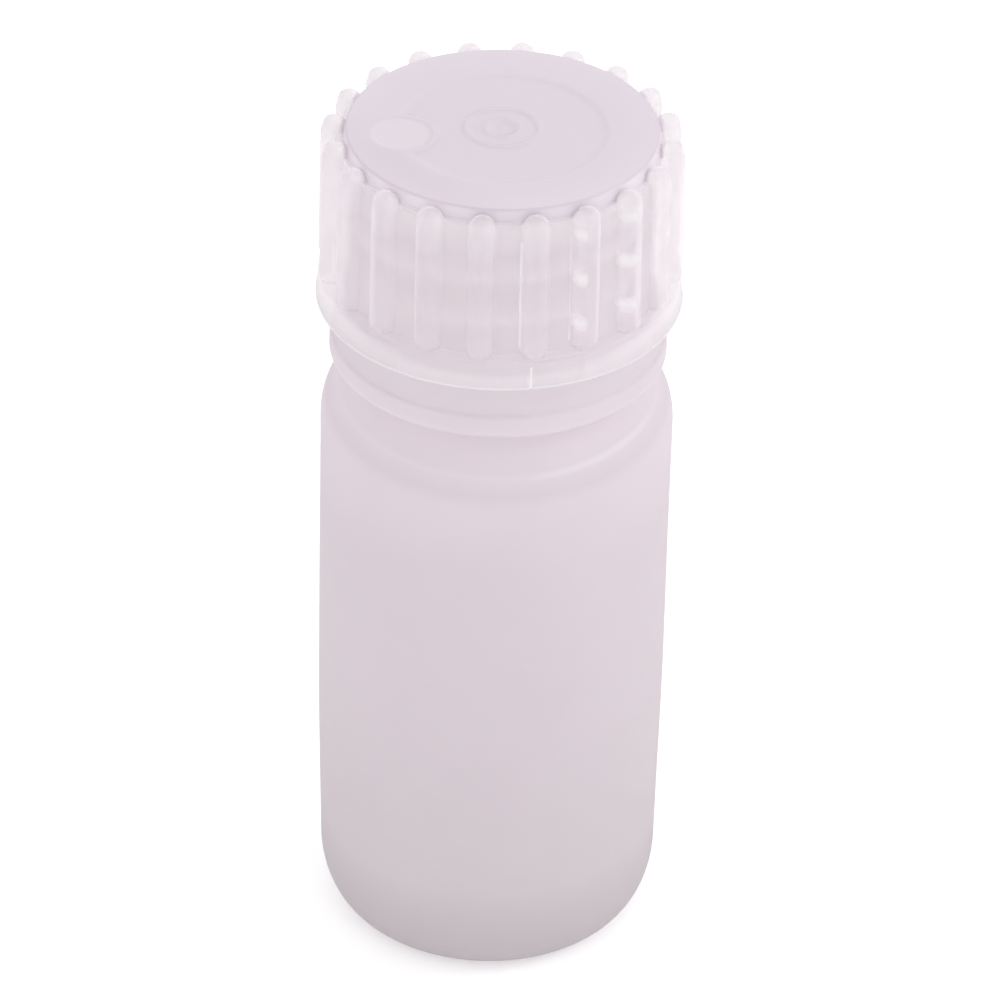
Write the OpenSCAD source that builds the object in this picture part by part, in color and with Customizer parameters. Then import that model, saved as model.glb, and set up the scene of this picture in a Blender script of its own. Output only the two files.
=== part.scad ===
// Small laboratory reagent bottle with a ribbed screw cap and a loose sealing disc.
// Sizes are in millimetres. The closed bottle stands on z = 0, centred on the Z axis.
// Every profile below is a list of [radius, height] points that is turned round the Z axis.

/* [Body] */
// Outer radius of the straight wall
body_r = 11.35; // [11.2:0.05:12]
// Wall thickness of the blown body
body_wall = 0.85; // [0.6:0.05:1.1]
// Width of the rounded heel between base and wall
heel_w = 2.4; // [1.8:0.1:3.2]
// Height of the rounded heel
heel_h = 4.5; // [3:0.1:5.5]
// How much slimmer the body is just above the heel
foot_draft = 0.2; // [0:0.05:0.4]
// Height where the body reaches its full radius
full_z = 16; // [10:0.5:25]
// Height of the dished base above the table
push_up = 0.8; // [0.4:0.1:1.2]
// Outer radius of the dish under the base
dish_r = 7.4; // [6:0.1:8]
// Height at which the straight wall ends
wall_top_z = 37.3; // [30:0.1:37.5]
// Radius of the rounded shoulder
shoulder_r = 5; // [3.5:0.1:5.5]
// Angle that the shoulder turns through before it runs straight
shoulder_angle = 29; // [25:1:33]

/* [Neck] */
// Radius of the groove between shoulder and bead
groove_r = 9.5; // [9.4:0.05:9.7]
// Height of the bottom of that groove
groove_z = 41.95; // [41.8:0.05:42]
// Outer radius of the neck bead
bead_r = 10.75; // [10.6:0.05:11]
// Height of the lower corner of the bead
bead_low_z = 42.45; // [42.3:0.05:42.6]
// Height of the upper corner of the bead
bead_high_z = 43.95; // [43.7:0.05:44.2]
// Outer radius of the collar between the bead and the cap
collar_r = 10.45; // [10:0.05:10.5]
// Height of the top of that collar
collar_top_z = 46.1; // [45.8:0.05:46.2]
// Outer radius of the neck between the threads
neck_r = 8.6; // [8.55:0.05:8.7]
// Radius of the mouth
mouth_r = 7.5; // [7:0.1:7.6]
// Height of the sealing rim at the top of the neck
rim_z = 56.3; // [56:0.1:56.4]

/* [Thread] */
// Pitch of the screw thread, eight turns to the inch
pitch = 3.175; // [3.175]
// Radius of the crest of the neck thread
neck_crest_r = 9.5; // [9.4:0.05:9.55]
// Radius of the crest of the cap thread
cap_crest_r = 8.95; // [8.85:0.05:9.05]
// Width of a thread ridge at its crest
crest_w = 0.6; // [0.4:0.05:0.7]
// Width of a thread ridge where it leaves the wall
root_w = 1.4; // [1.2:0.05:1.5]
// Height at which the neck thread starts
neck_thread_z = 47.9; // [47.5:0.1:48.2]
// Turns of the neck thread
neck_turns = 2.1; // [1.5:0.1:2.1]
// Turns of the cap thread
cap_turns = 1.9; // [1.5:0.1:1.9]
// Turns that the cap thread starts above the neck thread's own start
cap_first_turn = 0.6; // [0.6:0.05:0.7]
// Gap under the neck thread where the tightened cap thread pulls
pull_gap = 0.2; // [0.15:0.05:0.4]

/* [Cap] */
// Total height of the closed bottle
total_h = 58.5; // [58.3:0.1:59]
// Height of the cap's lower edge
cap_edge_z = 46.55; // [46:0.05:46.6]
// Outer radius at the cap's lower edge
cap_edge_r = 11.66; // [11.6:0.01:12]
// Outer radius where the smooth lower band ends
band_top_r = 11.35; // [11.2:0.05:11.45]
// Height where the smooth lower band ends and the ribs begin
band_top_z = 48.6; // [48.4:0.1:48.8]
// Outer radius of the wall between the ribs, at the top of the cap
wall_r = 10.45; // [10.3:0.05:10.6]
// Outer radius of the wall between the ribs, at the band
wall_low_r = 10.6; // [10.5:0.05:10.8]
// Height of the ledge round the raised top disc
ledge_z = 57.65; // [57.5:0.05:57.8]
// Inner radius of the skirt between the threads
cap_root_r = 9.75; // [9.7:0.05:9.8]
// Number of grip ribs
rib_count = 20; // [16:1:24]
// Half width of a grip rib
rib_r = 0.83; // [0.7:0.01:0.88]
// Distance of a rib's upper end from the axis
rib_high_ring_r = 10.61; // [10.5:0.01:10.65]
// Distance of a rib's lower end from the axis
rib_low_ring_r = 10.74; // [10.65:0.01:10.78]
// Height of the top of a rib's rounded upper end
rib_top_z = 58.45; // [58.2:0.05:58.5]
// Height of the bottom of a rib's rounded lower end
rib_low_z = 48.3; // [48.2:0.05:48.5]
// Direction of the first rib, from the front towards the right
rib_turn = 12; // [0:0.5:18]
// Radius of the raised top disc at its foot
disc_foot_r = 9.95; // [9.85:0.05:10.1]
// Radius of the raised top disc at its edge
disc_r = 9.8; // [9.5:0.05:9.85]
// Depth of the shallow step in the flat top
recess_depth = 0.15; // [0.1:0.05:0.25]
// Radius of the shallow step in the flat top
recess_r = 6.6; // [5.5:0.1:7]

/* [Sealing disc] */
// Thickness of the sealing disc
liner_t = 1; // [0.6:0.1:1]
// Radius of the sealing disc
liner_r = 9.4; // [9.2:0.05:9.45]

/* [Hidden] */
$fn = 96;

HDPE = [0.87, 0.83, 0.86];
POLYPROPYLENE = [0.90, 0.87, 0.90];
FOAM = [0.94, 0.93, 0.94];

// Steps of an arc that is drawn as a run of short cones
ARC_STEPS = 6;
// Segments in one turn of a thread, and the part of a turn over which its ends fade out
TURN_STEPS = 40;
FADE_TURNS = 0.1;
// How far a thread ridge reaches into the wall that carries it
ROOT_DEPTH = 0.25;

inner_r = body_r - body_wall;
foot_r = body_r - foot_draft;
heel_centre_r = foot_r - heel_w;
shoulder_centre_r = body_r - shoulder_r;
rim_chamfer = 0.25;
// Thickness of the neck's wall behind the bead and the collar
collar_wall = 1.35;
liner_top_z = rim_z + liner_t;
// The cap thread runs just under the neck thread, pulled up to its lower flank
mid_r = (neck_crest_r + cap_crest_r) / 2;
neck_mid_w = ridge_width(mid_r, neck_crest_r, neck_r);
cap_mid_w = ridge_width(mid_r, cap_crest_r, cap_root_r);
cap_thread_z = neck_thread_z - (neck_mid_w + cap_mid_w) / 2 - pull_gap;

// Width of a ridge at radius r, between its crest and the wall it stands on
function ridge_width(r, crest, root) = crest_w + (root_w - crest_w) * (r - crest) / (root - crest);

// Points of an arc in a profile, from angle a0 to a1 round the centre c
function arc(c, r, a0, a1, steps = ARC_STEPS) = oval(c, [r, r], a0, a1, steps);

// The same for a stretch of an ellipse, whose two radii are half = [across, up]
function oval(c, half, a0, a1, steps = ARC_STEPS) = [
    for (i = [0:steps])
    let (a = a0 + (a1 - a0) * i / steps)
    [c[0] + half[0] * cos(a), c[1] + half[1] * sin(a)]
];

// Height factor of a ridge that fades in and out at its ends, at turn t of all its turns
function fade(t, turns) = max(0.04, min(1, t / FADE_TURNS, (turns - t) / FADE_TURNS));

// Four corners of a ridge's section: two in the wall, two at its crest
function ridge_corners(root, crest, f) =
    let (out = sign(crest - root), tip = root + (crest - root) * f)
    let (tip_w = root_w + (crest_w - root_w) * f)
    out > 0
        ? [[root - ROOT_DEPTH, -root_w / 2], [tip, -tip_w / 2], [tip, tip_w / 2], [root - ROOT_DEPTH, root_w / 2]]
        : [[tip, -tip_w / 2], [root + ROOT_DEPTH, -root_w / 2], [root + ROOT_DEPTH, root_w / 2], [tip, tip_w / 2]];

// A right-hand helical ridge that stands on a wall of radius root and ends at radius crest.
// Its helix passes height z at turn 0, and the ridge is there from turn first on.
module thread_ridge(root, crest, z, first, turns) {
    last = ceil(turns * TURN_STEPS);
    points = [
        for (i = [0:last])
        let (t = turns * i / last, a = 360 * (first + t))
        for (c = ridge_corners(root, crest, fade(t, turns)))
        [c[0] * cos(a), c[0] * sin(a), z + pitch * (first + t) + c[1]]
    ];
    sides = [
        for (i = [0:last - 1], k = [0:3])
        let (a = 4 * i + k, b = 4 * i + (k + 1) % 4)
        each [[a, b, a + 4], [b, b + 4, a + 4]]
    ];
    end = 4 * last;
    ends = [[0, 2, 1], [0, 3, 2], [end, end + 1, end + 2], [end, end + 2, end + 3]];
    polyhedron(points, concat(sides, ends));
}

// The blown body: outside from the dished base up to the rim, then back down the inside
module body_shell() {
    outside = concat(
        [[0, push_up], [dish_r - 1.6, push_up], [dish_r, 0]],
        oval([heel_centre_r, heel_h], [heel_w, heel_h], -90, 0),
        [[body_r, full_z]],
        arc([shoulder_centre_r, wall_top_z], shoulder_r, 0, shoulder_angle),
        [[groove_r, groove_z]],
        [[bead_r - 0.15, bead_low_z], [bead_r, bead_low_z + 0.25]],
        [[bead_r - 0.05, bead_high_z - 0.2], [collar_r, bead_high_z]],
        [[collar_r - 0.1, collar_top_z - 0.15], [collar_r - 0.25, collar_top_z]],
        [[neck_r, collar_top_z + 0.2]],
        [[neck_r, rim_z - rim_chamfer], [neck_r - rim_chamfer, rim_z]]
    );
    inside = concat(
        [[mouth_r, rim_z], [mouth_r, collar_top_z - 0.1]],
        [[collar_r - collar_wall, 44.9], [collar_r - collar_wall - 0.1, 43]],
        [[groove_r - body_wall, groove_z - 0.2]],
        arc([shoulder_centre_r, wall_top_z], shoulder_r - body_wall, shoulder_angle, 0),
        [[inner_r, full_z]],
        oval([heel_centre_r, heel_h], [heel_w - body_wall, heel_h - body_wall], 0, -90),
        [[dish_r - 0.2, body_wall], [dish_r - 1.9, push_up + body_wall], [0, push_up + body_wall]]
    );
    rotate_extrude() polygon(concat(outside, inside));
}

module bottle_body() {
    color(HDPE) {
        body_shell();
        thread_ridge(neck_r, neck_crest_r, neck_thread_z, 0, neck_turns);
    }
}

module cap_liner() {
    color(FOAM) translate([0, 0, rim_z]) cylinder(h = liner_t, r = liner_r);
}

// One grip rib: a bar with rounded ends that leans with the draft of the wall
module grip_rib() {
    low = [rib_low_ring_r, rib_low_z + rib_r];
    high = [rib_high_ring_r, rib_top_z - rib_r];
    lean = atan2(low[0] - high[0], high[1] - low[1]);
    bar_h = norm(high - low);
    translate([low[0], 0, low[1]]) rotate([0, -lean, 0]) {
        sphere(r = rib_r);
        cylinder(h = bar_h, r = rib_r);
        translate([0, 0, bar_h]) sphere(r = rib_r);
    }
}

// The smooth skirt with its lower band, and the raised top disc, as one solid of revolution
module plain_shell() {
    rotate_extrude() polygon([
        [0, cap_edge_z],
        [cap_edge_r, cap_edge_z],
        [cap_edge_r - 0.08, band_top_z - 0.35],
        [band_top_r, band_top_z - 0.1],
        [wall_low_r, band_top_z],
        [wall_r, ledge_z - 0.15],
        [wall_r - 0.15, ledge_z],
        [disc_foot_r, ledge_z],
        [disc_r, total_h],
        [recess_r, total_h],
        [recess_r - 0.4, total_h - recess_depth],
        [0, total_h - recess_depth]
    ]);
}

module screw_cap() {
    color(POLYPROPYLENE) {
        difference() {
            union() {
                plain_shell();
                for (i = [0:rib_count - 1]) {
                    rotate(rib_turn - 90 + i * 360 / rib_count) grip_rib();
                }
            }
            translate([0, 0, cap_edge_z - 1]) cylinder(h = liner_top_z - cap_edge_z + 1, r = cap_root_r);
        }
        thread_ridge(cap_root_r, cap_crest_r, cap_thread_z, cap_first_turn, cap_turns);
    }
}

bottle_body();
cap_liner();
screw_cap();
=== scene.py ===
"""A small translucent plastic reagent bottle with a ribbed screw cap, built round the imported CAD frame.

Every visible piece is one closed surface turned round the bottle's axis: a profile of rounded corners gives
its rings, and ribs, threads and moulded marks push those rings out or in. Lengths in this file are in
millimetres up to build(), which writes the mesh in metres. The camera, floor and lights are in metres.

Directions round the axis are in degrees from the front towards the right. Some tones in the materials are
painted for light from the front right, and don't follow another light.
"""

import math

import bpy
import numpy as np
from mathutils import Matrix, Vector


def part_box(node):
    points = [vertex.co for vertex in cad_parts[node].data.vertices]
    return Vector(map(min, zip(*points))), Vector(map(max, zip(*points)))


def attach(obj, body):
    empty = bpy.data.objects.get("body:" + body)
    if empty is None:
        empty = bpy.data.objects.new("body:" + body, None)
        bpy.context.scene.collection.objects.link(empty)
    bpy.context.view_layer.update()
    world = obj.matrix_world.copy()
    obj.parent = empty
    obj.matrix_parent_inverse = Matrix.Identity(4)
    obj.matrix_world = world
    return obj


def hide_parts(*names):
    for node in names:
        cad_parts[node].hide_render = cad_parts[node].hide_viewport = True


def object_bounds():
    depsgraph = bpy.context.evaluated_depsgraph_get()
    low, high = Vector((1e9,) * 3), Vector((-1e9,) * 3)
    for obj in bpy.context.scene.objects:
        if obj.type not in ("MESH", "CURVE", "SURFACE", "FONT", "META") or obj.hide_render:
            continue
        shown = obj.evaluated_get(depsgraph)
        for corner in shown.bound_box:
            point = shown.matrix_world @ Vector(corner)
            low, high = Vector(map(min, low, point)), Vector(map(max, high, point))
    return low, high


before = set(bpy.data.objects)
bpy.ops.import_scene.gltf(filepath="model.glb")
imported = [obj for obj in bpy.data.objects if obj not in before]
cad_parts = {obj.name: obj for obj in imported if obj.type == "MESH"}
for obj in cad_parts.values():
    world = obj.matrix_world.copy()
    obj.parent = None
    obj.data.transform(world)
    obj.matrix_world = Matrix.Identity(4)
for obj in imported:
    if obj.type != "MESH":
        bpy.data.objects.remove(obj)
cad_low, cad_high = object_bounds()

MM = 0.001
TAU = 2 * math.pi


def cad_mm(node):
    """Outer radius, lowest and highest height of a CAD node, in millimetres."""
    low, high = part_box(node)
    return high.x / MM, low.z / MM, high.z / MM


def bearing(direction):
    """The angle in radians from the X axis of a direction in degrees from the front towards the right."""
    return math.radians(direction - 90)


BODY_R, BASE_Z, RIM_Z = cad_mm("bottle_body")
LINER_R, LINER_LOW_Z, LINER_TOP_Z = cad_mm("cap_liner")
CAP_R, CAP_EDGE_Z, CAP_TOP_Z = cad_mm("screw_cap")

# Body, in step with the CAD: wall, heel, shoulder, groove, bead and collar
BODY_WALL = 0.85
HEEL_W, HEEL_H = 2.4, 4.5
FOOT_DRAFT, FULL_Z = 0.2, 16.0
PUSH_UP = 0.8
DISH_R = 7.4
WALL_TOP_Z = 37.3
SHOULDER_R = 5.0
SHOULDER_ANGLE = math.radians(29)
GROOVE_R, GROOVE_Z = 9.5, 41.95
BEAD_R, BEAD_LOW_Z, BEAD_HIGH_Z = 10.75, 42.45, 43.95
COLLAR_R, COLLAR_TOP_Z, COLLAR_WALL = 10.45, 46.1, 1.35
NECK_R, MOUTH_R = 8.6, 7.5

# Height of the bend where the shoulder runs straight, halfway round from front to back
BEND_Z = 40.45

# Thread, in step with the CAD
PITCH = 3.175
NECK_CREST_R, CAP_CREST_R = 9.5, 8.95
THREAD_CREST_W, THREAD_ROOT_W = 0.6, 1.4
NECK_THREAD_Z, NECK_TURNS = 47.9, 2.1
CAP_FIRST_TURN, CAP_TURNS = 0.6, 1.9
PULL_GAP = 0.2
FADE_TURNS = 0.1

# Cap, in step with the CAD
CAP_ROOT_R = 9.75
WALL_R, WALL_LOW_R = 10.45, 10.6
BAND_TOP_R, BAND_TOP_Z = 11.35, 48.6
RIB_COUNT = 20
RIB_TURN = bearing(12)
RIB_R = 0.83
RIB_LOW_Z, RIB_TOP_Z = 48.3, 58.45
RIB_LOW_RING_R, RIB_HIGH_RING_R = 10.74, 10.61
LEDGE_Z = 57.65
DISC_FOOT_R, DISC_R = 9.95, 9.8


# ---------------------------------------------------------------------------------------------------------
# Profiles: lists of [radius, height] in millimetres


def rounded(corners, arc_steps=5):
    """A polyline with its corners rounded. corners are (radius, height, rounding), and 0 keeps one sharp."""
    points = [np.array(c[:2], float) for c in corners]
    line = [points[0]]
    for before, here, after, corner in zip(points, points[1:], points[2:], corners[1:]):
        cut = corner[2]
        if cut <= 0:
            line.append(here)
            continue
        to_before, to_after = before - here, after - here
        a = here + to_before * min(0.49, cut / np.linalg.norm(to_before))
        b = here + to_after * min(0.49, cut / np.linalg.norm(to_after))
        for t in np.linspace(0, 1, arc_steps):
            line.append((1 - t) ** 2 * a + 2 * t * (1 - t) * here + t**2 * b)
    line.append(points[-1])
    return np.array(line)


def oval(centre, across, up, start, end, steps=10):
    """Points of a stretch of an ellipse round centre, from angle start to end in radians."""
    angles = np.linspace(start, end, steps + 1)
    return [(centre[0] + across * math.cos(a), centre[1] + up * math.sin(a), 0) for a in angles]


def arc(centre, radius, start, end, steps=10):
    return oval(centre, radius, radius, start, end, steps)


def refined(line, step):
    """The polyline with points added so that no stretch is longer than step(radius, height)."""
    out = [line[0]]
    for a, b in zip(line, line[1:]):
        length = np.linalg.norm(b - a)
        if length < 1e-6:
            continue
        middle = (a + b) / 2
        n = max(1, math.ceil(length / step(*middle)))
        out += [a + (b - a) * k / n for k in range(1, n + 1)]
    return np.array(out)


def normals_of(line):
    """Outward unit normals of a profile that runs up the outside and down the inside."""
    d = np.gradient(line, axis=0)
    n = np.stack([d[:, 1], -d[:, 0]], axis=1)
    return n / np.maximum(np.linalg.norm(n, axis=1, keepdims=True), 1e-9)


def smoothstep(x, low, high):
    t = np.clip((x - low) / (high - low), 0, 1)
    return t * t * (3 - 2 * t)


# ---------------------------------------------------------------------------------------------------------
# Meshes


def build(name, line, angles, pushes=()):
    """A closed mesh: line, which starts and ends on the Z axis, turned round it. Each push takes the rings,
    their normals and the angles, and gives the directions and distances by which it moves the surface."""
    rings, normals = line[1:-1], normals_of(line)[1:-1]
    radius = np.repeat(rings[:, :1], len(angles), axis=1)
    height = np.repeat(rings[:, 1:], len(angles), axis=1)
    for push in pushes:
        way, out = push(rings, normals, angles)
        radius = radius + way[:, :1] * out
        height = height + way[:, 1:] * out
    x, y = radius * np.cos(angles), radius * np.sin(angles)
    verts = np.stack([x, y, height], axis=2).reshape(-1, 3)
    first, last = [[0, 0, height[0].mean()]], [[0, 0, height[-1].mean()]]
    verts = np.concatenate([first, verts, last]) * MM
    ring_count, steps = len(rings), len(angles)
    i, j = np.meshgrid(np.arange(ring_count - 1), np.arange(steps), indexing="ij")

    def at(ring, step):
        return (1 + ring * steps + step % steps).ravel()

    quads = np.stack([at(i, j), at(i, j + 1), at(i + 1, j + 1), at(i + 1, j)], axis=1)
    start_fan = [(0, 1 + (k + 1) % steps, 1 + k) for k in range(steps)]
    end, base = len(verts) - 1, 1 + (ring_count - 1) * steps
    end_fan = [(end, base + k, base + (k + 1) % steps) for k in range(steps)]
    mesh = bpy.data.meshes.new(name)
    mesh.from_pydata(verts.tolist(), [], quads.tolist() + start_fan + end_fan)
    mesh.validate()
    mesh.shade_smooth()
    piece = bpy.data.objects.new(name, mesh)
    bpy.context.scene.collection.objects.link(piece)
    return piece


def thread_profile(z, angles, start_z, first, turns):
    """From 0 to 1, how far a point lies up the helical ridge. Its helix passes start_z at turn 0, and the
    ridge starts at turn first."""
    turn = (angles % TAU) / TAU
    height = np.zeros(np.broadcast(z, turn).shape)
    for lap in range(math.ceil(first + turns)):
        t = turn + lap
        off = np.abs(z - (start_z + PITCH * t))
        ridge = 1 - smoothstep(off, THREAD_CREST_W / 2, THREAD_ROOT_W / 2)
        ends = smoothstep(np.minimum(t - first, first + turns - t), 0, FADE_TURNS)
        height = np.maximum(height, ridge * ends)
    return height


# ---------------------------------------------------------------------------------------------------------
# Bottle

BOTTLE_STEPS = 192
WAVE_DEPTH = 0.02


def bottle_line():
    outside = [(0, BASE_Z + PUSH_UP, 0), (DISH_R - 1.6, PUSH_UP, 0.6), (DISH_R, 0, 0.25)]
    heel_centre = (BODY_R - FOOT_DRAFT - HEEL_W, HEEL_H)
    outside += oval(heel_centre, HEEL_W, HEEL_H, -math.pi / 2, 0, 14)
    outside += [(BODY_R, FULL_Z, 3)]
    outside += arc((BODY_R - SHOULDER_R, WALL_TOP_Z), SHOULDER_R, 0, SHOULDER_ANGLE, 8)
    outside += [
        (GROOVE_R - 0.05, GROOVE_Z, 0.4),
        (BEAD_R, BEAD_LOW_Z + 0.05, 0.35),
        (BEAD_R - 0.05, BEAD_HIGH_Z - 0.1, 0.25),
        (COLLAR_R, BEAD_HIGH_Z + 0.02, 0.15),
        (COLLAR_R - 0.1, COLLAR_TOP_Z, 0.25),
        (NECK_R, COLLAR_TOP_Z + 0.2, 0.3),
        (NECK_R, RIM_Z, 0.3),
    ]
    inside = [
        (MOUTH_R, RIM_Z, 0.3),
        (MOUTH_R, COLLAR_TOP_Z - 0.1, 0.6),
        (COLLAR_R - COLLAR_WALL, 44.9, 0.6),
        (COLLAR_R - COLLAR_WALL - 0.1, 43.0, 0.6),
        (GROOVE_R - BODY_WALL, GROOVE_Z - 0.2, 0.4),
    ]
    inside += arc((BODY_R - SHOULDER_R, WALL_TOP_Z), SHOULDER_R - BODY_WALL, SHOULDER_ANGLE, 0, 8)
    inside += [(BODY_R - BODY_WALL, FULL_Z, 3)]
    inside += oval(heel_centre, HEEL_W - BODY_WALL, HEEL_H - BODY_WALL, 0, -math.pi / 2)
    inside += [
        (DISH_R - 0.2, BODY_WALL, 0.3),
        (DISH_R - 1.9, PUSH_UP + BODY_WALL, 0.6),
        (0, PUSH_UP + BODY_WALL, 0),
    ]

    def step(r, z):
        """The longest stretch between rings, short where the thread lies."""
        if z > COLLAR_TOP_Z + 0.2 and r > MOUTH_R + 0.5:
            return 0.12
        return 0.7

    return refined(rounded(outside + inside), step)


def neck_thread(rings, normals, angles):
    """The ridge round the outside of the neck."""
    r, z = rings[:, :1], rings[:, 1:]
    on_neck = (normals[:, :1] > 0.9) & (np.abs(r - NECK_R) < 0.05) & (z > COLLAR_TOP_Z + 0.2)
    ridge = (NECK_CREST_R - NECK_R) * thread_profile(z, angles, NECK_THREAD_Z, 0, NECK_TURNS)
    return normals, np.where(on_neck, ridge, 0.0)


def blown_unevenness(rings, normals, angles):
    """The slight waves that a blown wall has on its outside."""
    r, z = rings[:, :1], rings[:, 1:]
    share = smoothstep(z, 2, 6) * (1 - smoothstep(z, 40, 42)) * (normals[:, :1] > 0.2)
    waves = (
        np.sin(2 * angles + 0.13 * z + 0.6)
        + 0.7 * np.sin(3 * angles - 0.21 * z + 2.1)
        + 0.6 * np.sin(0.33 * z + 1.7 * np.sin(angles + 0.8))
    )
    highest_wave = 2.3
    return normals, share * WAVE_DEPTH * (waves - highest_wave)


def make_bottle():
    angles = np.arange(BOTTLE_STEPS) * TAU / BOTTLE_STEPS
    return build("bottle_shell", bottle_line(), angles, (neck_thread, blown_unevenness))


# ---------------------------------------------------------------------------------------------------------
# Cap

RIB_LOW = np.array([RIB_LOW_RING_R, RIB_LOW_Z + RIB_R])
RIB_HIGH = np.array([RIB_HIGH_RING_R, RIB_TOP_Z - RIB_R])
CEILING_GAP = 0.02
STEPS_PER_HALF_RIB = 11

# The rays along which the wall moves out to the ribs: where they start from, and how far they reach
RIB_HEART_R = 9.6
RIB_HEAD_RISE = 1.0
RIB_FOOT_DROP, RIB_FOOT_FADE = 0.7, 1.4
RIB_REACH = 1.5
RIB_FILLET = 0.12

# Marks in the flat top: a dish, the gate's rings as (radius, height, half width, fade) and a round pad
TOP_DISH_R, TOP_DISH_FADE, TOP_DISH_DEPTH = 6.2, 0.5, 0.15
GATE_Y = 0.2
GATE_RINGS = ((2.3, 0.13, 0.08, 0.18), (1.1, 0.10, 0.06, 0.18))
GATE_PIT_R, GATE_PIT_FADE, GATE_PIT_DEPTH = 0.5, 0.4, 0.12
PAD_X, PAD_Y, PAD_R = -6.3, -0.9, 2.5
PAD_DEPTH, PAD_MIDDLE_DEPTH = 0.01, 0.10

# Where the skirt's raised pads start and end
SKIRT_PADS = ((-32, 10.5), (27, 56))
SKIRT_PAD_H = 0.1


def cap_outline():
    ceiling_z = LINER_TOP_Z + CEILING_GAP
    inside = [(0, ceiling_z, 0), (CAP_ROOT_R, ceiling_z, 0.2), (CAP_ROOT_R, CAP_EDGE_Z + 0.5, 0.1)]
    edge = [(CAP_ROOT_R + 0.25, CAP_EDGE_Z, 0.12), (CAP_R - 0.02, CAP_EDGE_Z, 0.12)]
    outside = [
        (CAP_R - 0.1, BAND_TOP_Z - 0.35, 0.1),
        (BAND_TOP_R, BAND_TOP_Z - 0.05, 0.1),
        (WALL_LOW_R, BAND_TOP_Z, 0.1),
        (WALL_R, LEDGE_Z, 0.2),
        (DISC_FOOT_R, LEDGE_Z, 0.1),
        (DISC_R, CAP_TOP_Z, 0.15),
        (0, CAP_TOP_Z, 0),
    ]

    def step(r, z):
        """The longest stretch between rings, short on the flat top, at the ribs' ends and on the thread."""
        if z > LINER_TOP_Z + 1 and r < DISC_R - 0.1:
            return 0.16 if r < 9 else 0.3
        if r > CAP_ROOT_R + 0.3:
            near_rib_end = z > LEDGE_Z - 1.3 or BAND_TOP_Z - 0.2 < z < BAND_TOP_Z + 1.6
            return 0.1 if near_rib_end else 0.5
        if r > DISC_R - 0.1 and z > LINER_TOP_Z + 0.2:
            return 0.1
        if z < LINER_TOP_Z - 0.1 and r > CAP_ROOT_R - 0.3:
            return 0.16
        return 0.8

    return refined(rounded(inside + edge + outside), step)


def rib_distance(radius, height, across):
    """Distance from the nearest rib's surface, a leaning bar with round ends. across runs sideways."""
    along = RIB_HIGH - RIB_LOW
    t = ((radius - RIB_LOW[0]) * along[0] + (height - RIB_LOW[1]) * along[1]) / (along @ along)
    t = np.clip(t, 0, 1)
    dr = radius - (RIB_LOW[0] + along[0] * t)
    dz = height - (RIB_LOW[1] + along[1] * t)
    return np.sqrt(dr**2 + dz**2 + across**2) - RIB_R


def ribs(rings, normals, angles):
    """The grip ribs, joined to the wall by a small fillet. The wall moves out along rays from inside it.
    They are level along the ribs, fan out over the ribs' upper ends, the ledge and the disc's flank, and
    rise over the band to the ribs' lower ends."""
    drop = RIB_FOOT_DROP * (1 - smoothstep(rings[:, 1], BAND_TOP_Z, BAND_TOP_Z + RIB_FOOT_FADE))
    heart_z = np.minimum(rings[:, 1], RIB_HIGH[1] - RIB_HEAD_RISE) - drop
    heart = np.stack([np.full(len(rings), RIB_HEART_R), heart_z], axis=1)
    way = rings - heart
    way = way / np.maximum(np.linalg.norm(way, axis=1, keepdims=True), 1e-6)
    rib_step = TAU / RIB_COUNT
    local = (angles - RIB_TURN + rib_step / 2) % rib_step - rib_step / 2
    low = np.zeros((len(rings), len(angles)))
    high = np.full_like(low, RIB_REACH)
    for _ in range(18):
        mid = (low + high) / 2
        radius, height = rings[:, :1] + way[:, :1] * mid, rings[:, 1:] + way[:, 1:] * mid
        d = rib_distance(radius * np.cos(local), height, radius * np.sin(local))
        blend = np.clip(0.5 + 0.5 * (d - mid) / RIB_FILLET, 0, 1)
        union = d * (1 - blend) + mid * blend - RIB_FILLET * blend * (1 - blend)
        low, high = np.where(union < 0, mid, low), np.where(union < 0, high, mid)
    on_outside = (rings[:, 0] > DISC_R) & (rings[:, 1] > BAND_TOP_Z - 0.5) & (normals @ (1, 1) > 0.3)
    return way, np.where(on_outside[:, None], low, 0.0)


def cap_thread(rings, normals, angles):
    """The ridge inside the skirt, whose wall faces the axis. It lies just under the neck's ridge."""
    r, z = rings[:, :1], rings[:, 1:]
    inner_wall = (np.abs(r - CAP_ROOT_R) < 0.02) & (z < LINER_TOP_Z - 0.3) & (normals[:, :1] < -0.9)
    mid_r = (NECK_CREST_R + CAP_CREST_R) / 2
    flank = THREAD_ROOT_W - THREAD_CREST_W
    neck_w = THREAD_CREST_W + flank * (NECK_CREST_R - mid_r) / (NECK_CREST_R - NECK_R)
    cap_w = THREAD_CREST_W + flank * (mid_r - CAP_CREST_R) / (CAP_ROOT_R - CAP_CREST_R)
    start_z = NECK_THREAD_Z - (neck_w + cap_w) / 2 - PULL_GAP
    ridge = (CAP_ROOT_R - CAP_CREST_R) * thread_profile(z, angles, start_z, CAP_FIRST_TURN, CAP_TURNS)
    return normals, np.where(inner_wall, ridge, 0.0)


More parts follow.
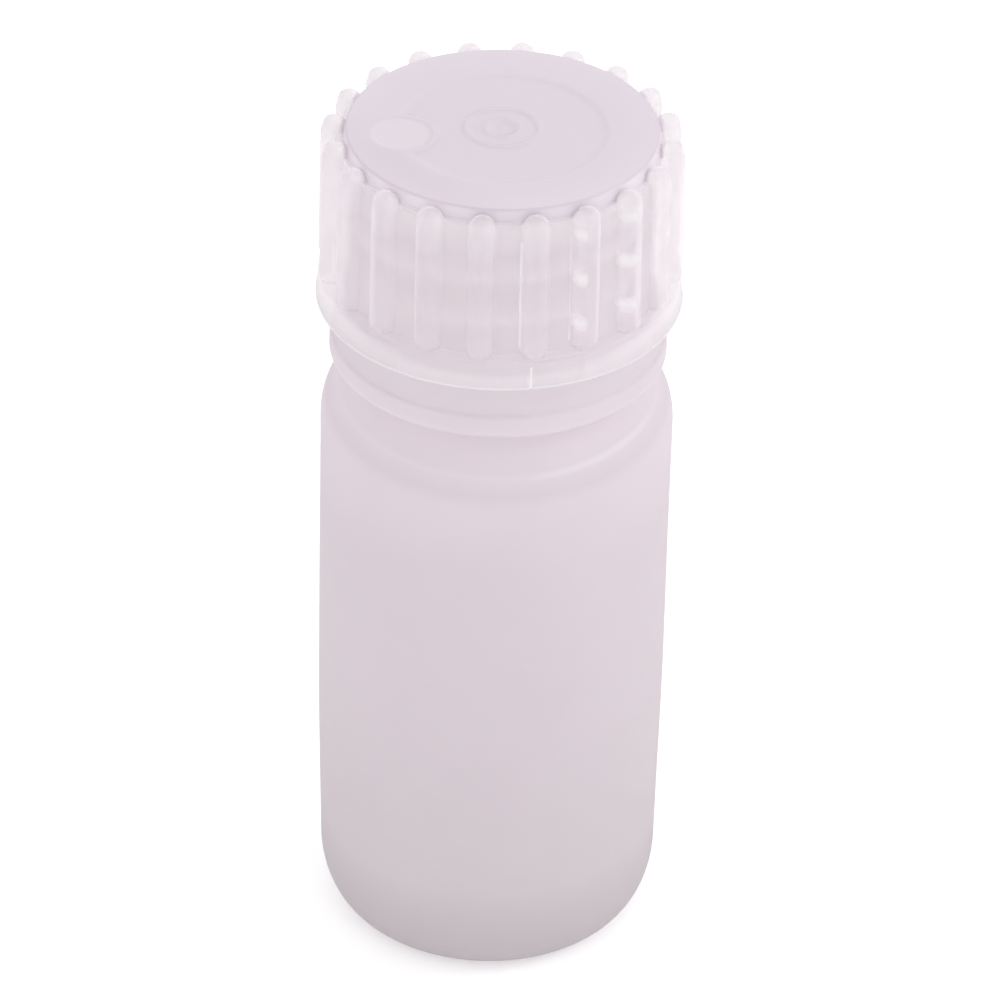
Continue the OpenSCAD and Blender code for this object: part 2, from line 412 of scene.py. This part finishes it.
def top_marks(rings, normals, angles):
    """What the mould leaves in the flat top: a shallow dish, the gate's rings and a plain round pad."""
    r, z = rings[:, :1], rings[:, 1:]
    on_top = (z > CAP_TOP_Z - 0.05) & (r < DISC_R - 0.4)
    x, y = r * np.cos(angles), r * np.sin(angles)
    marks = -TOP_DISH_DEPTH * (1 - smoothstep(r, TOP_DISH_R, TOP_DISH_R + TOP_DISH_FADE))
    gate = np.hypot(x, y - GATE_Y)
    for ring_r, rise, half, fade in GATE_RINGS:
        marks = marks + rise * (1 - smoothstep(np.abs(gate - ring_r), half, half + fade))
    marks = marks - GATE_PIT_DEPTH * (1 - smoothstep(gate, GATE_PIT_R, GATE_PIT_R + GATE_PIT_FADE))
    pad = np.hypot(x - PAD_X, y - PAD_Y)
    on_pad = 1 - smoothstep(pad, PAD_R - 0.15, PAD_R)
    marks = marks * (1 - on_pad) - PAD_DEPTH * on_pad
    marks = marks - PAD_MIDDLE_DEPTH * (1 - smoothstep(pad, PAD_R - 0.7, PAD_R - 0.5))
    return normals, np.where(on_top, marks, 0.0)


def cap_angles():
    """Angles round the cap, closest together where the ribs' steep sides are."""
    half = TAU / RIB_COUNT / 2
    side = math.asin(RIB_R / RIB_LOW_RING_R)
    u = np.linspace(-1, 1, STEPS_PER_HALF_RIB + 1)
    to_right = side + np.where(u < 0, side, half - side) * np.sign(u) * np.abs(u) ** 1.7
    one_rib = np.concatenate([-to_right[:0:-1], to_right[:-1]])
    return (RIB_TURN + np.arange(RIB_COUNT)[:, None] * 2 * half + one_rib).ravel()


def skirt_pads(rings, normals, angles):
    """Two long raised pads on the smooth band: the rest of the band lies a little deeper."""
    on_band = (rings[:, :1] > BAND_TOP_R + 0.1) & (normals[:, :1] > 0.7)
    height = smoothstep(rings[:, 1:], CAP_EDGE_Z + 0.05, CAP_EDGE_Z + 0.15)
    pad = np.zeros(len(angles))
    for first, last in SKIRT_PADS:
        middle, half = bearing((first + last) / 2), math.radians((last - first) / 2)
        off = np.abs((angles - middle + math.pi) % TAU - math.pi)
        pad = np.maximum(pad, 1 - smoothstep(off, half - 0.008, half + 0.008))
    return normals, np.where(on_band, -SKIRT_PAD_H * (1 - pad) * height, 0.0)


def make_cap():
    return build("cap_shell", cap_outline(), cap_angles(), (skirt_pads, ribs, cap_thread, top_marks))


# ---------------------------------------------------------------------------------------------------------
# Sealing disc

LINER_STEPS = 128


def make_liner():
    line = rounded(
        [
            (0, LINER_LOW_Z, 0),
            (MOUTH_R, LINER_LOW_Z, 0.2),
            (NECK_R, LINER_LOW_Z, 0.2),
            (LINER_R, LINER_LOW_Z, 0.15),
            (LINER_R, LINER_TOP_Z, 0.15),
            (0, LINER_TOP_Z, 0),
        ]
    )
    angles = np.arange(LINER_STEPS) * TAU / LINER_STEPS
    return build("liner_disc", refined(line, lambda r, z: 0.6), angles)


# ---------------------------------------------------------------------------------------------------------
# Materials: nodes

# The middle of the range from 0 to 1, where most of a noise pattern's values lie
FAC_RANGE = (0.3, 0.7)


def new_material(name):
    material = bpy.data.materials.new(name)
    material.use_nodes = True
    tree = material.node_tree
    shader = tree.nodes["Principled BSDF"]
    return material, tree, shader


def noise(tree, scale):
    """A noise pattern in object space, scale in repeats per metre."""
    place = tree.nodes.new("ShaderNodeTexCoord")
    node = tree.nodes.new("ShaderNodeTexNoise")
    node.inputs["Scale"].default_value = scale
    node.inputs["Detail"].default_value = 3
    tree.links.new(place.outputs["Object"], node.inputs["Vector"])
    return node.outputs["Fac"]


def mapped(tree, value, first, last, low=0.0, high=1.0):
    """value turned into a number that goes from low, at first, to high, at last, and no further."""
    node = tree.nodes.new("ShaderNodeMapRange")
    node.inputs["From Min"].default_value = first
    node.inputs["From Max"].default_value = last
    node.inputs["To Min"].default_value = low
    node.inputs["To Max"].default_value = high
    tree.links.new(value, node.inputs["Value"])
    return node.outputs["Result"]


def between(tree, fac, low, high):
    """fac turned into a number that goes from low to high over the middle of its range."""
    return mapped(tree, fac, *FAC_RANGE, low, high)


def maths(tree, operation, a, b=0.0):
    """A Math node. a and b are sockets or numbers."""
    node = tree.nodes.new("ShaderNodeMath")
    node.operation = operation
    for value, socket in zip((a, b), node.inputs):
        if isinstance(value, (int, float)):
            socket.default_value = value
        else:
            tree.links.new(value, socket)
    return node.outputs["Value"]


def all_of(tree, first, *others):
    """The product of numbers from 0 to 1."""
    for other in others:
        first = maths(tree, "MULTIPLY", first, other)
    return first


def colour_between(tree, fac, low, high):
    node = tree.nodes.new("ShaderNodeValToRGB")
    for element, place, colour in zip(node.color_ramp.elements, FAC_RANGE, (low, high)):
        element.position = place
        element.color = (*colour, 1)
    tree.links.new(fac, node.inputs["Fac"])
    return node.outputs["Color"]


def tinted(tree, colour, fac, stops):
    """colour times a tint that changes with fac. stops are (place from 0 to 1, tint)."""
    ramp = tree.nodes.new("ShaderNodeValToRGB")
    elements = ramp.color_ramp.elements
    while len(elements) < len(stops):
        elements.new(0.5)
    for element, (place, tint) in zip(elements, stops):
        element.position = place
        element.color = (*tint, 1)
    tree.links.new(fac, ramp.inputs["Fac"])
    product = tree.nodes.new("ShaderNodeMix")
    product.data_type = "RGBA"
    product.blend_type = "MULTIPLY"
    product.inputs["Factor"].default_value = 1.0
    tree.links.new(colour, product.inputs["A"])
    tree.links.new(ramp.outputs["Color"], product.inputs["B"])
    return product.outputs["Result"]


def toned(tree, colour, mask, tint):
    """colour times tint where mask is 1, and as it is where mask is 0."""
    return tinted(tree, colour, mask, ((0.0, (1, 1, 1)), (1.0, tint)))


def blended(tree, colour, fac, other):
    """colour going over to the fixed colour other as fac goes from 0 to 1."""
    mix = tree.nodes.new("ShaderNodeMix")
    mix.data_type = "RGBA"
    tree.links.new(fac, mix.inputs["Factor"])
    tree.links.new(colour, mix.inputs["A"])
    mix.inputs["B"].default_value = (*other, 1)
    return mix.outputs["Result"]


def bumped(tree, shader, fac, distance):
    node = tree.nodes.new("ShaderNodeBump")
    node.inputs["Distance"].default_value = distance
    tree.links.new(fac, node.inputs["Height"])
    tree.links.new(node.outputs["Normal"], shader.inputs["Normal"])


def mixed(tree, first, second, share):
    """The shader first with a share of second, where share is a number or a socket."""
    mix = tree.nodes.new("ShaderNodeMixShader")
    if isinstance(share, float):
        mix.inputs["Fac"].default_value = share
    else:
        tree.links.new(share, mix.inputs["Fac"])
    tree.links.new(first, mix.inputs[1])
    tree.links.new(second, mix.inputs[2])
    return mix.outputs["Shader"]


def let_light_through(tree, shader, colour, share):
    """The plastic in this colour, with a share that scatters light through to the other side."""
    tree.links.new(colour, shader.inputs["Base Color"])
    veil = tree.nodes.new("ShaderNodeBsdfTranslucent")
    tree.links.new(colour, veil.inputs["Color"])
    return mixed(tree, shader.outputs["BSDF"], veil.outputs["BSDF"], share)


def show(tree, surface):
    tree.links.new(surface, tree.nodes["Material Output"].inputs["Surface"])


# ---------------------------------------------------------------------------------------------------------
# Materials: masks, numbers from 0 to 1 that say where on the object a tone lies. They take millimetres and
# degrees from the front towards the right.

# The rise of the line on the shoulder from front to back, as a slope
BEND_TILT = 0.0935

# The height at which the thread shows through the skirt on the X axis
THREAD_SHOWS_Z = 51.15


def coordinates(tree):
    """The sockets x, y and z of the object's own space, in metres."""
    place = tree.nodes.new("ShaderNodeTexCoord")
    split = tree.nodes.new("ShaderNodeSeparateXYZ")
    tree.links.new(place.outputs["Object"], split.inputs["Vector"])
    return split.outputs["X"], split.outputs["Y"], split.outputs["Z"]


def height(tree, low_z, high_z, low=0.0, high=1.0):
    """A number that goes from low to high between two heights."""
    return mapped(tree, coordinates(tree)[2], low_z * MM, high_z * MM, low, high)


def within(tree, radius, blur, centre=(0.0, 0.0)):
    """1 nearer than radius to the upright line through centre, 0 outside. The edge is as wide as blur."""
    x, y, _ = coordinates(tree)
    x = maths(tree, "SUBTRACT", x, centre[0] * MM)
    y = maths(tree, "SUBTRACT", y, centre[1] * MM)
    square = maths(tree, "ADD", maths(tree, "MULTIPLY", x, x), maths(tree, "MULTIPLY", y, y))
    distance = maths(tree, "POWER", square, 0.5)
    return mapped(tree, distance, (radius - blur / 2) * MM, (radius + blur / 2) * MM, 1.0, 0.0)


def outside(tree, radius, blur):
    return mapped(tree, within(tree, radius, blur), 0.0, 1.0, 1.0, 0.0)


def towards(tree, direction, first, last):
    """0 to 1 with the distance from the axis, from first to last, in a direction."""
    x, y, _ = coordinates(tree)
    to_x = maths(tree, "MULTIPLY", x, math.cos(bearing(direction)))
    to_y = maths(tree, "MULTIPLY", y, math.sin(bearing(direction)))
    return mapped(tree, maths(tree, "ADD", to_x, to_y), first * MM, last * MM)


def near_direction(tree, direction, half, blur):
    """1 within half of a direction and 0 further off. The edge is as wide as blur."""
    x, y, _ = coordinates(tree)
    angle = maths(tree, "ARCTAN2", x, maths(tree, "MULTIPLY", y, -1.0))
    off = maths(tree, "ABSOLUTE", maths(tree, "SUBTRACT", angle, math.radians(direction)))
    return mapped(tree, off, math.radians(half - blur / 2), math.radians(half + blur / 2), 1.0, 0.0)


def along_helix(tree, first, last):
    """0 to 1 near a helix with the thread's pitch. first and last are cosines of the phase between turns."""
    x, y, z = coordinates(tree)
    above = maths(tree, "SUBTRACT", z, THREAD_SHOWS_Z * MM)
    climbed = maths(tree, "MULTIPLY", above, TAU / (PITCH * MM))
    phase = maths(tree, "SUBTRACT", climbed, maths(tree, "ARCTAN2", y, x))
    return mapped(tree, maths(tree, "COSINE", phase), first, last)


def on_bend(tree, above, half):
    """A band round the top of the shoulder: 1 on a line this far above the bend, falling to 0 at a distance
    of half. The line tilts, a little lower at the front than at the back."""
    _, y, z = coordinates(tree)
    level = maths(tree, "SUBTRACT", z, maths(tree, "MULTIPLY", y, BEND_TILT))
    off = maths(tree, "SUBTRACT", level, (BEND_Z + above) * MM)
    return mapped(tree, maths(tree, "ABSOLUTE", off), 0.0, half * MM, 1.0, 0.0)


# ---------------------------------------------------------------------------------------------------------
# Materials: plastics

# Repeats per metre of the cloudiness and of the changes in gloss
CLOUD_SCALE, GLOSS_SCALE = 160, 700
PLASTIC_IOR = 1.5

# The share of the translucent shader, which scatters light through to the other side
BODY_VEIL, SKIRT_VEIL, DISC_VEIL = 0.5, 0.5, 0.12

# How much of the cap's surface isn't simply clear: on the skirt, at its top, on the raised disc, on painted
# highlights
SKIRT_SOLID, SKIRT_TOP_SOLID, DISC_SOLID, GLINT_SOLID = 0.5, 0.75, 1.0, 0.9

# Painted shade and light as a grey tint of the body, at places from 0 to 1 up the whole bottle's height:
# darker towards the foot, lighter at the shoulder's bend, darker again on the bead and collar under the cap
BODY_PAINTED_GREYS = (
    (0.0, 0.75),
    (0.04, 0.775),
    (0.12, 0.872),
    (0.35, 0.90),
    (0.55, 0.91),
    (0.66, 0.955),
    (0.70, 0.99),
    (0.722, 0.98),
    (0.735, 0.945),
    (0.78, 0.94),
    (0.81, 1.0),
)
# The colour of the painted highlight along the shoulder's bend
BEND_SHINE = (0.985, 0.955, 0.975)

# Radii just inside the skirt's outer face, the ribs' fronts and the smooth band's face
SKIRT_FROM_R, RIB_FRONT_R, BAND_FROM_R = 10.2, 11.0, 11.2
PAD_COLOUR = (0.84, 0.76, 0.83)
# The colour of the painted highlights on the skirt
GLINT_COLOUR = (0.99, 0.98, 0.99)

# Painted highlights, pale spots on the ribs where the thread passes behind them, on the right only: each
# column's direction, half width, blur and strength
THREAD_GLINTS = ((26.8, 2.4, 3.0, 1.0), (45.2, 3.1, 3.4, 1.0), (65.0, 3.0, 4.4, 0.6))

# Directions and strengths of the thin pale lines along ribs, painted highlights
RIB_LINES = ((7.2, 1.0), (24.4, 0.75))
RIB_LINE_HALF, RIB_LINE_BLUR = 0.5, 0.6


def plastic(name, low, high, roughness, grain, grain_depth):
    """A moulded plastic with a cloudy colour and an uneven skin."""
    material, tree, shader = new_material(name)
    colour = colour_between(tree, noise(tree, CLOUD_SCALE), low, high)
    tree.links.new(between(tree, noise(tree, GLOSS_SCALE), *roughness), shader.inputs["Roughness"])
    bumped(tree, shader, noise(tree, grain), grain_depth)
    shader.inputs["IOR"].default_value = PLASTIC_IOR
    return material, tree, shader, colour


def body_material():
    """Milky, with painted shade towards the foot, on the bead and collar and under the shoulder's bend, and
    a painted line of light where the shoulder bends.
    """
    material, tree, shader, colour = plastic(
        "milky_hdpe", (0.945, 0.89, 0.925), (0.96, 0.905, 0.94), (0.38, 0.48), 2600, 0.00001
    )
    stops = [(place, (grey, grey, grey)) for place, grey in BODY_PAINTED_GREYS]
    colour = tinted(tree, colour, height(tree, 0, CAP_TOP_Z), stops)
    # Painted shade in a band just under the shoulder's bend
    colour = toned(tree, colour, on_bend(tree, -1.1, 0.8), (0.965, 0.96, 0.965))
    # A painted highlight along the shoulder's bend, strongest at the front right
    shine = maths(tree, "MAXIMUM", towards(tree, 42, 8.8, 10.4), 0.3)
    colour = blended(tree, colour, all_of(tree, on_bend(tree, 0.0, 0.28), shine), BEND_SHINE)
    show(tree, let_light_through(tree, shader, colour, BODY_VEIL))
    return material


def top_tones(tree, backed, top_face):
    """Masks and tints of the raised disc: all of it, painted shade on its flank at the front right, its
    face, painted shade along the face's edge and a crescent of painted shade at its front left."""
    # Painted shade: on the flank at the front right, along the face's edge and in a crescent at the front
    # left
    flank_shade = all_of(tree, backed, outside(tree, DISC_R - 0.05, 0.1), towards(tree, 15, 7.8, 9.4))
    disc_edge = all_of(tree, top_face, outside(tree, DISC_R - 0.12, 0.06))
    crescent = all_of(tree, top_face, outside(tree, 6.9, 0.6), towards(tree, -50, 5.0, 8.0))
    return (
        (backed, (0.88, 0.834, 0.882)),
        (flank_shade, (0.93, 0.93, 0.93)),
        (top_face, (0.936, 0.922, 0.939)),
        (disc_edge, (0.93, 0.92, 0.93)),
        (crescent, (0.965, 0.955, 0.965)),
    )


def skirt_tones(tree, skirt):
    """Masks and tints of the skirt: painted shade on its outermost part, the ribs' fronts, the gaps between
    the thread's turns and painted shade on the lower half of the smooth band."""
    no_thread = all_of(tree, skirt, along_helix(tree, 0.5, -1.0))
    low_half = height(tree, CAP_EDGE_Z + 0.2, BAND_TOP_Z - 0.6, 1.0, 0.0)
    low_band = all_of(tree, outside(tree, BAND_FROM_R, 0.1), low_half)
    # Painted shade on the ribs' fronts and on the lower half of the smooth band
    return (
        (outside(tree, RIB_FRONT_R, 0.6), (0.975, 0.965, 0.975)),
        (no_thread, (0.985, 0.982, 0.985)),
        (low_band, (0.76, 0.74, 0.752)),
    )


def skirt_glints(tree, skirt):
    """Where the skirt is palest, painted highlights: its lower edge, the thread behind the right-hand ribs,
    thin lines along two ribs and one end of a raised pad."""
    glints = height(tree, CAP_EDGE_Z + 0.08, CAP_EDGE_Z + 0.16, 1.0, 0.0)
    thread = all_of(tree, skirt, along_helix(tree, -0.5, 1.0))
    for direction, half, blur, strength in THREAD_GLINTS:
        column = all_of(tree, thread, near_direction(tree, direction, half, blur), strength)
        glints = maths(tree, "MAXIMUM", glints, column)
    along_rib = all_of(tree, skirt, height(tree, LEDGE_Z - 1.15, LEDGE_Z - 0.65, 1.0, 0.0))
    for direction, strength in RIB_LINES:
        line = near_direction(tree, direction, RIB_LINE_HALF, RIB_LINE_BLUR)
        glints = maths(tree, "MAXIMUM", glints, all_of(tree, along_rib, line, strength))
    below_ribs = height(tree, BAND_TOP_Z - 0.5, BAND_TOP_Z - 0.4, 1.0, 0.0)
    pad_end = near_direction(tree, SKIRT_PADS[0][1], 0.4, 0.5)
    pad_line = all_of(tree, outside(tree, BAND_FROM_R, 0.1), below_ribs, pad_end)
    return maths(tree, "MAXIMUM", glints, pad_line)


def cap_material():
    """Clearer than the body: the thread shows through the skirt, and the sealing disc backs the flat top."""
    material, tree, shader, colour = plastic(
        "clear_polypropylene", (0.974, 0.938, 0.96), (0.982, 0.946, 0.968), (0.20, 0.24), 1800, 0.000002
    )
    above_ledge = height(tree, LEDGE_Z - 0.2, LEDGE_Z - 0.1)
    backed = all_of(tree, within(tree, DISC_FOOT_R + 0.2, 0.2), above_ledge)
    top_face = all_of(tree, within(tree, DISC_R, 0.08), height(tree, LEDGE_Z, LEDGE_Z + 0.1))
    above_band = height(tree, BAND_TOP_Z + 0.1, BAND_TOP_Z + 0.6)
    skirt = all_of(tree, outside(tree, SKIRT_FROM_R, 0.2), above_band)
    # Tints of the disc and skirt, among them painted shade
    for mask, tint in top_tones(tree, backed, top_face) + skirt_tones(tree, skirt):
        colour = toned(tree, colour, mask, tint)
    pad = all_of(tree, top_face, within(tree, PAD_R - 0.6, 0.2, (PAD_X, PAD_Y)))
    colour = blended(tree, colour, pad, PAD_COLOUR)
    # Painted highlights on the skirt
    glints = skirt_glints(tree, skirt)
    colour = blended(tree, colour, glints, GLINT_COLOUR)
    milky = let_light_through(tree, shader, colour, between(tree, backed, SKIRT_VEIL, DISC_VEIL))
    clear = tree.nodes.new("ShaderNodeBsdfTransparent")
    solid = height(tree, LEDGE_Z - 2.15, CAP_TOP_Z - 0.5, SKIRT_SOLID, SKIRT_TOP_SOLID)
    solid = maths(tree, "MAXIMUM", between(tree, backed, SKIRT_SOLID, DISC_SOLID), solid)
    solid = maths(tree, "MAXIMUM", solid, maths(tree, "MULTIPLY", glints, GLINT_SOLID))
    show(tree, mixed(tree, clear.outputs["BSDF"], milky, solid))
    return material


def liner_material():
    material, tree, shader, colour = plastic(
        "foam_liner", (0.90, 0.87, 0.89), (0.93, 0.90, 0.92), (0.55, 0.65), 9000, 0.00004
    )
    tree.links.new(colour, shader.inputs["Base Color"])
    return material


# ---------------------------------------------------------------------------------------------------------
# Camera, floor and light

CAMERA_DISTANCE = 0.4
CAMERA_ELEVATION = math.radians(34.0)
CAMERA_ROLL = math.radians(1.33)
CAMERA_LENS_MM = 222.7
TARGET_SHARE = 0.523
TARGET_X = 0.00036
FLOOR_HALF = 3.0
FLOOR_GLOW = 0.28
WORLD_STRENGTH = 0.95
KEY_PLACE, KEY_SIZE, KEY_WATTS = (0.36, 0.0, 0.30), 0.12, 0.26


def make_camera():
    data = bpy.data.cameras.new("camera")
    camera = bpy.data.objects.new("camera", data)
    bpy.context.scene.collection.objects.link(camera)
    target = Vector((TARGET_X, 0, cad_low.z + TARGET_SHARE * (cad_high.z - cad_low.z)))
    back = Vector((0, -math.cos(CAMERA_ELEVATION), math.sin(CAMERA_ELEVATION)))
    camera.location = target + back * CAMERA_DISTANCE
    aim = (-back).to_track_quat("-Z", "Y").to_matrix()
    camera.rotation_euler = (aim @ Matrix.Rotation(CAMERA_ROLL, 3, "Z")).to_euler()
    data.lens = CAMERA_LENS_MM
    data.clip_start = 0.01
    bpy.context.scene.camera = camera


def make_floor():
    mesh = bpy.data.meshes.new("floor")
    ways = ((-1, -1), (1, -1), (1, 1), (-1, 1))
    corners = [(x * FLOOR_HALF, y * FLOOR_HALF, cad_low.z) for x, y in ways]
    mesh.from_pydata(corners, [], [(0, 1, 2, 3)])
    floor = bpy.data.objects.new("floor", mesh)
    bpy.context.scene.collection.objects.link(floor)
    material, _, shader = new_material("floor_white")
    shader.inputs["Base Color"].default_value = (0.95, 0.95, 0.95, 1)
    shader.inputs["Emission Color"].default_value = (1, 1, 1, 1)
    shader.inputs["Emission Strength"].default_value = FLOOR_GLOW
    shader.inputs["Roughness"].default_value = 0.9
    shader.inputs["Specular IOR Level"].default_value = 0.1
    mesh.materials.append(material)


def add_light(name, place, size, power):
    """A square area light aimed at the middle of the bottle."""
    data = bpy.data.lights.new(name, "AREA")
    data.size = size
    data.energy = power
    light = bpy.data.objects.new(name, data)
    light.location = place
    middle = (cad_low + cad_high) / 2
    light.rotation_euler = (middle - Vector(place)).to_track_quat("-Z", "Y").to_euler()
    bpy.context.scene.collection.objects.link(light)


def make_world():
    world = bpy.data.worlds.new("studio")
    world.use_nodes = True
    background = world.node_tree.nodes["Background"]
    background.inputs["Color"].default_value = (1, 1, 1, 1)
    background.inputs["Strength"].default_value = WORLD_STRENGTH
    bpy.context.scene.world = world


def finish_piece(piece, material, body, node):
    piece.data.materials.append(material)
    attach(piece, body)
    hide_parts(node)


make_camera()
make_world()
make_floor()
add_light("key", KEY_PLACE, KEY_SIZE, KEY_WATTS)

finish_piece(make_bottle(), body_material(), "bottle", "bottle_body")
finish_piece(make_liner(), liner_material(), "liner", "cap_liner")
finish_piece(make_cap(), cap_material(), "cap", "screw_cap")

bpy.context.scene.view_settings.view_transform = "Standard"
